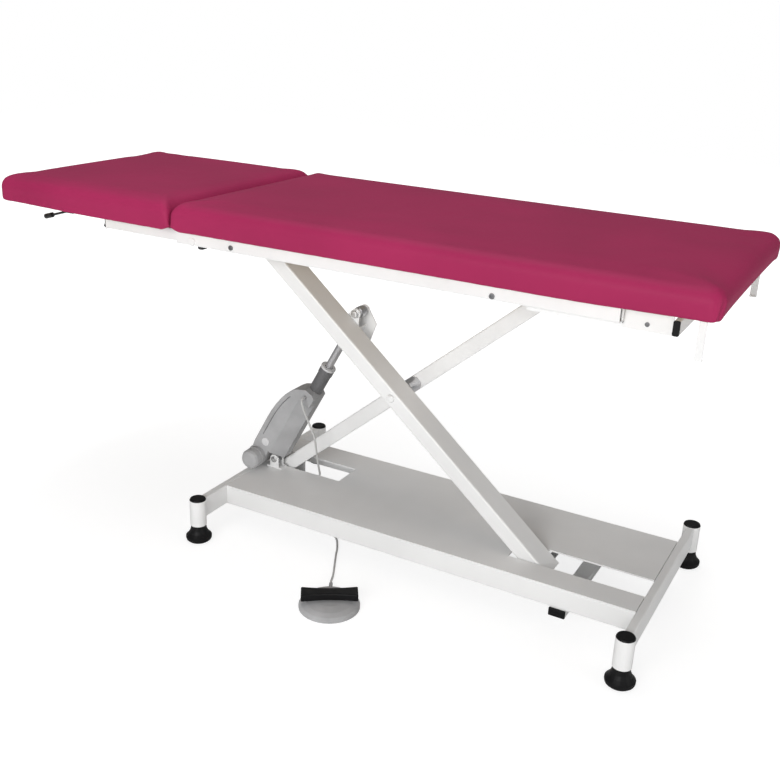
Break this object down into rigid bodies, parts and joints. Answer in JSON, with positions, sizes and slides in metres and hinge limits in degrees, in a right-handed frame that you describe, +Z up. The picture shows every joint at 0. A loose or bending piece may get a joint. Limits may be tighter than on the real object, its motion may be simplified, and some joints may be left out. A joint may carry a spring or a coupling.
{
  "type": "examination table",
  "caption": "Padded couch in a long body section and a tilting head section, raised by an open scissor lift with an electric actuator and a foot switch on the floor.",
  "frame": {"origin": "floor under the centre of the overall box, foot switch included", "axes": "+X towards the foot end, +Y away from the long side with the foot switch, +Z up"},
  "size_m": [1.807, 0.7614, 0.8836],
  "materials": {
    "white_paint": "satin",
    "crimson_vinyl": "satin",
    "plywood": "matte",
    "black_plastic": "matte",
    "grey_plastic": "matte",
    "dark_tube": "satin",
    "bright_steel": "bright",
    "black_steel": "satin",
    "cable_sheath": "matte"
  },
  "bodies": {
    "base": {"base_plate": "white_paint", "base_rail_near": "white_paint", "base_rail_far": "white_paint", "base_end_bar_head": "white_paint", "base_end_bar_foot": "white_paint", "base_cross_tube": "white_paint", "corner_post_head_near": "white_paint", "corner_post_head_far": "white_paint", "corner_post_foot_near": "white_paint", "corner_post_foot_far": "white_paint", "post_cap_head_near": "black_plastic", "post_cap_head_far": "black_plastic", "post_cap_foot_near": "black_plastic", "post_cap_foot_far": "black_plastic", "lower_channel_near": "white_paint", "lower_channel_far": "white_paint", "rear_arm_bracket": "white_paint", "actuator_bracket": "white_paint", "foot_switch_base": "grey_plastic", "switch_cable": "cable_sheath"},
    "foot_head_near": {"levelling_foot_head_near": "black_plastic"},
    "foot_head_far": {"levelling_foot_head_far": "black_plastic"},
    "foot_foot_near": {"levelling_foot_foot_near": "black_plastic"},
    "foot_foot_far": {"levelling_foot_foot_far": "black_plastic"},
    "pedal": {"foot_pedal": "black_plastic"},
    "rear_arm": {"rear_arm": "white_paint", "scissor_shaft": "bright_steel", "upper_axle": "bright_steel"},
    "upper_roller_near": {"upper_roller_near": "black_plastic"},
    "upper_roller_far": {"upper_roller_far": "black_plastic"},
    "front_arm": {"front_arm": "white_paint", "lower_axle": "bright_steel", "rod_bracket": "white_paint"},
    "lower_roller_near": {"lower_roller_near": "black_plastic"},
    "lower_roller_far": {"lower_roller_far": "black_plastic"},
    "bed": {"bed_rail_near": "white_paint", "bed_rail_far": "white_paint", "upper_channel_near": "white_paint", "upper_channel_far": "white_paint", "head_bar": "white_paint", "mid_bar": "white_paint", "foot_bar": "white_paint", "foot_bar_plug_near": "black_plastic", "foot_bar_plug_far": "black_plastic", "roll_holder_near": "white_paint", "roll_holder_far": "white_paint", "body_board": "plywood", "body_cushion": "crimson_vinyl"},
    "head": {"head_frame": "white_paint", "head_board": "plywood", "head_cushion": "crimson_vinyl", "head_cushion_fold": "crimson_vinyl", "lever_clip": "black_plastic"},
    "lever": {"release_lever": "black_steel"},
    "gas_cylinder": {"gas_cylinder": "black_steel"},
    "gas_rod": {"gas_rod": "bright_steel"},
    "actuator": {"actuator_housing": "grey_plastic", "actuator_motor": "grey_plastic", "actuator_tube": "dark_tube"},
    "actuator_rod": {"actuator_rod": "bright_steel"}
  },
  "joints": [
    {"name": "lift", "type": "hinge", "parent": "base", "child": "rear_arm", "pos_m": [-0.265, 0.1128, 0.087], "axis": [0, -1, 0], "range_deg": [-24, 0]},
    {"name": "scissor", "type": "hinge", "parent": "rear_arm", "child": "front_arm", "pos_m": [0.14745, -0.0092, 0.43802], "axis": [0, -1, 0], "range_deg": [0, 48]},
    {"name": "bed_level", "type": "hinge", "parent": "front_arm", "child": "bed", "pos_m": [-0.265, -0.0092, 0.78904], "axis": [0, -1, 0], "range_deg": [-24, 0]},
    {"name": "actuator_tilt", "type": "hinge", "parent": "base", "child": "actuator", "pos_m": [-0.25355, 0.0508, 0.14], "axis": [0, -1, 0], "range_deg": [-29.1, 0], "deforming": ["switch_cable"]},
    {"name": "actuator_stroke", "type": "slide", "parent": "actuator", "child": "actuator_rod", "axis": [0.4791, 0, 0.8778], "range_m": [-0.1691, 0]},
    {"name": "upper_roller_near_spin", "type": "hinge", "parent": "rear_arm", "child": "upper_roller_near", "pos_m": [0.5599, -0.1709, 0.78904], "axis": [0, 1, 0], "continuous": true},
    {"name": "upper_roller_far_spin", "type": "hinge", "parent": "rear_arm", "child": "upper_roller_far", "pos_m": [0.5599, 0.2925, 0.78904], "axis": [0, 1, 0], "continuous": true},
    {"name": "lower_roller_near_spin", "type": "hinge", "parent": "front_arm", "child": "lower_roller_near", "pos_m": [0.5599, -0.0794, 0.087], "axis": [0, 1, 0], "continuous": true},
    {"name": "lower_roller_far_spin", "type": "hinge", "parent": "front_arm", "child": "lower_roller_far", "pos_m": [0.5599, 0.201, 0.087], "axis": [0, 1, 0], "continuous": true},
    {"name": "head_tilt", "type": "hinge", "parent": "bed", "child": "head", "pos_m": [-0.34455, 0.0608, 0.78904], "axis": [0, 1, 0], "range_deg": [0, 65], "deforming": ["head_cushion_fold"]},
    {"name": "gas_tilt", "type": "hinge", "parent": "bed", "child": "gas_cylinder", "pos_m": [-0.14255, 0.1058, 0.73504], "axis": [0, 1, 0], "range_deg": [0, 14.5]},
    {"name": "gas_stroke", "type": "slide", "parent": "gas_cylinder", "child": "gas_rod", "axis": [-0.9932, 0, -0.1163], "range_m": [0, 0.0622]},
    {"name": "release", "type": "hinge", "parent": "head", "child": "lever", "pos_m": [-0.71455, -0.1892, 0.80434], "axis": [0, 1, 0], "range_deg": [0, 10], "stiffness_Nm_per_rad": 1.5},
    {"name": "pedal_rock", "type": "hinge", "parent": "base", "child": "pedal", "pos_m": [0.14745, -0.3082, 0.0235], "axis": [0.8406, 0.5417, 0], "range_deg": [-5, 5], "stiffness_Nm_per_rad": 4},
    {"name": "level_head_near", "type": "slide", "parent": "base", "child": "foot_head_near", "axis": [0, 0, -1], "range_m": [0, 0.02]},
    {"name": "level_head_far", "type": "slide", "parent": "base", "child": "foot_head_far", "axis": [0, 0, -1], "range_m": [0, 0.02]},
    {"name": "level_foot_near", "type": "slide", "parent": "base", "child": "foot_foot_near", "axis": [0, 0, -1], "range_m": [0, 0.02]},
    {"name": "level_foot_far", "type": "slide", "parent": "base", "child": "foot_foot_far", "axis": [0, 0, -1], "range_m": [0, 0.02]}
  ],
  "couplings": [
    {"joint": "scissor", "follows": "lift", "ratio": -2},
    {"joint": "bed_level", "follows": "lift", "ratio": 1},
    {"joint": "actuator_tilt", "follows": "lift", "ratio": 1.2085},
    {"joint": "actuator_stroke", "follows": "lift", "m_per_rad": 0.40334},
    {"joint": "gas_tilt", "follows": "head_tilt", "ratio": 0.22141},
    {"joint": "gas_stroke", "follows": "head_tilt", "m_per_rad": 0.054671}
  ]
}
